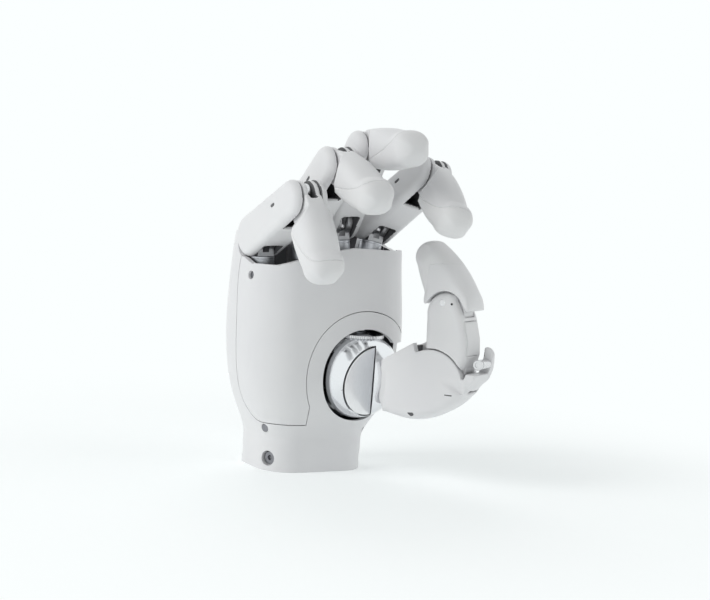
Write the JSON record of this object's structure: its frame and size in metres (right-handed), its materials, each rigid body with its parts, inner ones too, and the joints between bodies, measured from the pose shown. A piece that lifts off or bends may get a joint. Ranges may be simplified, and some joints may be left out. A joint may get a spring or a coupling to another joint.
{
  "type": "dexterous robot hand",
  "caption": "Right robot hand with coupled jointed fingers, a ball-mounted thumb that turns across the palm, a smooth split palm shell and an oval wrist collar.",
  "frame": {"origin": "centre of the wrist face, in the middle of the four wrist bolts", "axes": "+Z from the wrist towards the fingers, -Y out of the palm side, +X towards the thumb and index side"},
  "size_m": [0.0954, 0.1014, 0.157],
  "materials": {
    "shell": "satin",
    "soft_tip": "soft matte",
    "frame": "bead blasted",
    "pin": "ground",
    "link": "satin",
    "drive": "satin",
    "board": "lacquered",
    "chrome": "mirror",
    "disc": "satin"
  },
  "bodies": {
    "palm": {"palm_housing": "shell", "palm_cover": "shell", "wrist_flange": "frame", "palm_frame": "frame", "knuckle_pins": "pin", "little_drive": "drive", "ring_drive": "drive", "middle_drive": "drive", "index_drive": "drive", "control_board": "board", "frame_feet": "frame", "thumb_bearing_arm": "frame", "thumb_turn_drive": "drive", "cover_screws": "pin"},
    "little_first": {"little_proximal": "shell", "little_pip_pins": "pin"},
    "little_second": {"little_distal": "shell", "little_fingertip": "soft_tip", "little_crank_pin": "pin"},
    "little_coupler": {"little_link": "link"},
    "ring_first": {"ring_proximal": "shell", "ring_pip_pins": "pin"},
    "ring_second": {"ring_distal": "shell", "ring_fingertip": "soft_tip", "ring_crank_pin": "pin"},
    "ring_coupler": {"ring_link": "link"},
    "middle_first": {"middle_proximal": "shell", "middle_pip_pins": "pin"},
    "middle_second": {"middle_distal": "shell", "middle_fingertip": "soft_tip", "middle_crank_pin": "pin"},
    "middle_coupler": {"middle_link": "link"},
    "index_first": {"index_proximal": "shell", "index_pip_pins": "pin"},
    "index_second": {"index_distal": "shell", "index_fingertip": "soft_tip", "index_crank_pin": "pin"},
    "index_coupler": {"index_link": "link"},
    "thumb_base": {"thumb_ball": "chrome", "thumb_disc_cap": "disc", "thumb_metacarpal": "shell", "thumb_mcp_pins": "pin"},
    "thumb_first": {"thumb_proximal": "shell", "thumb_back_cover": "shell", "thumb_ip_pins": "pin"},
    "thumb_second": {"thumb_distal": "shell", "thumb_fingertip": "soft_tip"}
  },
  "joints": [
    {"name": "little_mcp", "type": "hinge", "parent": "palm", "child": "little_first", "pos_m": [-0.0295, -0.0027, 0.1056], "axis": [0.9986, 0, 0.0523], "range_deg": [-65, 20]},
    {"name": "little_pip", "type": "hinge", "parent": "little_first", "child": "little_second", "pos_m": [-0.03045, -0.04167, 0.12375], "axis": [0.9986, 0, 0.0523], "range_deg": [-81.5, 25.25]},
    {"name": "little_link_swing", "type": "hinge", "parent": "palm", "child": "little_coupler", "pos_m": [-0.02936, -0.00592, 0.1029], "axis": [0.9986, 0, 0.0523], "range_deg": [-65.6, 20.32]},
    {"name": "ring_mcp", "type": "hinge", "parent": "palm", "child": "ring_first", "pos_m": [-0.0099, -0.0027, 0.1116], "axis": [0.9981, 0, 0.061], "range_deg": [-50, 32]},
    {"name": "ring_pip", "type": "hinge", "parent": "ring_first", "child": "ring_second", "pos_m": [-0.01159, -0.03564, 0.13919], "axis": [0.9981, 0, 0.061], "range_deg": [-62.75, 40.25]},
    {"name": "ring_link_swing", "type": "hinge", "parent": "palm", "child": "ring_coupler", "pos_m": [-0.00974, -0.00592, 0.10891], "axis": [0.9981, 0, 0.061], "range_deg": [-50.51, 32.4]},
    {"name": "middle_mcp", "type": "hinge", "parent": "palm", "child": "middle_first", "pos_m": [0.0091, -0.0027, 0.1146], "axis": [0.9976, 0, 0.0698], "range_deg": [-40, 38]},
    {"name": "middle_pip", "type": "hinge", "parent": "middle_first", "child": "middle_second", "pos_m": [0.0068, -0.03034, 0.14746], "axis": [0.9976, 0, 0.0698], "range_deg": [-50.25, 47.75]},
    {"name": "middle_link_swing", "type": "hinge", "parent": "palm", "child": "middle_coupler", "pos_m": [0.00929, -0.00592, 0.11191], "axis": [0.9976, 0, 0.0698], "range_deg": [-40.45, 38.44]},
    {"name": "index_mcp", "type": "hinge", "parent": "palm", "child": "index_first", "pos_m": [0.0295, -0.0027, 0.1142], "axis": [0.9781, 0, -0.2079], "range_deg": [-56, 4]},
    {"name": "index_pip", "type": "hinge", "parent": "index_first", "child": "index_second", "pos_m": [0.0345, -0.03835, 0.13772], "axis": [0.9781, 0, -0.2079], "range_deg": [-70.25, 5.25]},
    {"name": "index_link_swing", "type": "hinge", "parent": "palm", "child": "index_coupler", "pos_m": [0.02894, -0.00592, 0.11156], "axis": [0.9781, 0, -0.2079], "range_deg": [-56.55, 4.22]},
    {"name": "thumb_rotation", "type": "hinge", "parent": "palm", "child": "thumb_base", "pos_m": [0.016, -0.017, 0.045], "axis": [0, 0, 1], "range_deg": [-40, 45]},
    {"name": "thumb_mcp", "type": "hinge", "parent": "thumb_base", "child": "thumb_first", "pos_m": [0.03725, -0.05381, 0.0455], "axis": [0.866, 0.5, 0], "range_deg": [-11, 5]},
    {"name": "thumb_ip", "type": "hinge", "parent": "thumb_first", "child": "thumb_second", "pos_m": [0.0395, -0.0577, 0.0785], "axis": [0.866, 0.5, 0], "range_deg": [-13.4, 6.2]}
  ],
  "couplings": [
    {"joint": "little_pip", "follows": "little_mcp", "ratio": 1.25},
    {"joint": "little_link_swing", "follows": "little_mcp", "ratio": 1.0062},
    {"joint": "ring_pip", "follows": "ring_mcp", "ratio": 1.25},
    {"joint": "ring_link_swing", "follows": "ring_mcp", "ratio": 1.0062},
    {"joint": "middle_pip", "follows": "middle_mcp", "ratio": 1.25},
    {"joint": "middle_link_swing", "follows": "middle_mcp", "ratio": 1.0062},
    {"joint": "index_pip", "follows": "index_mcp", "ratio": 1.25},
    {"joint": "index_link_swing", "follows": "index_mcp", "ratio": 1.0062},
    {"joint": "thumb_ip", "follows": "thumb_mcp", "ratio": 1.2}
  ]
}
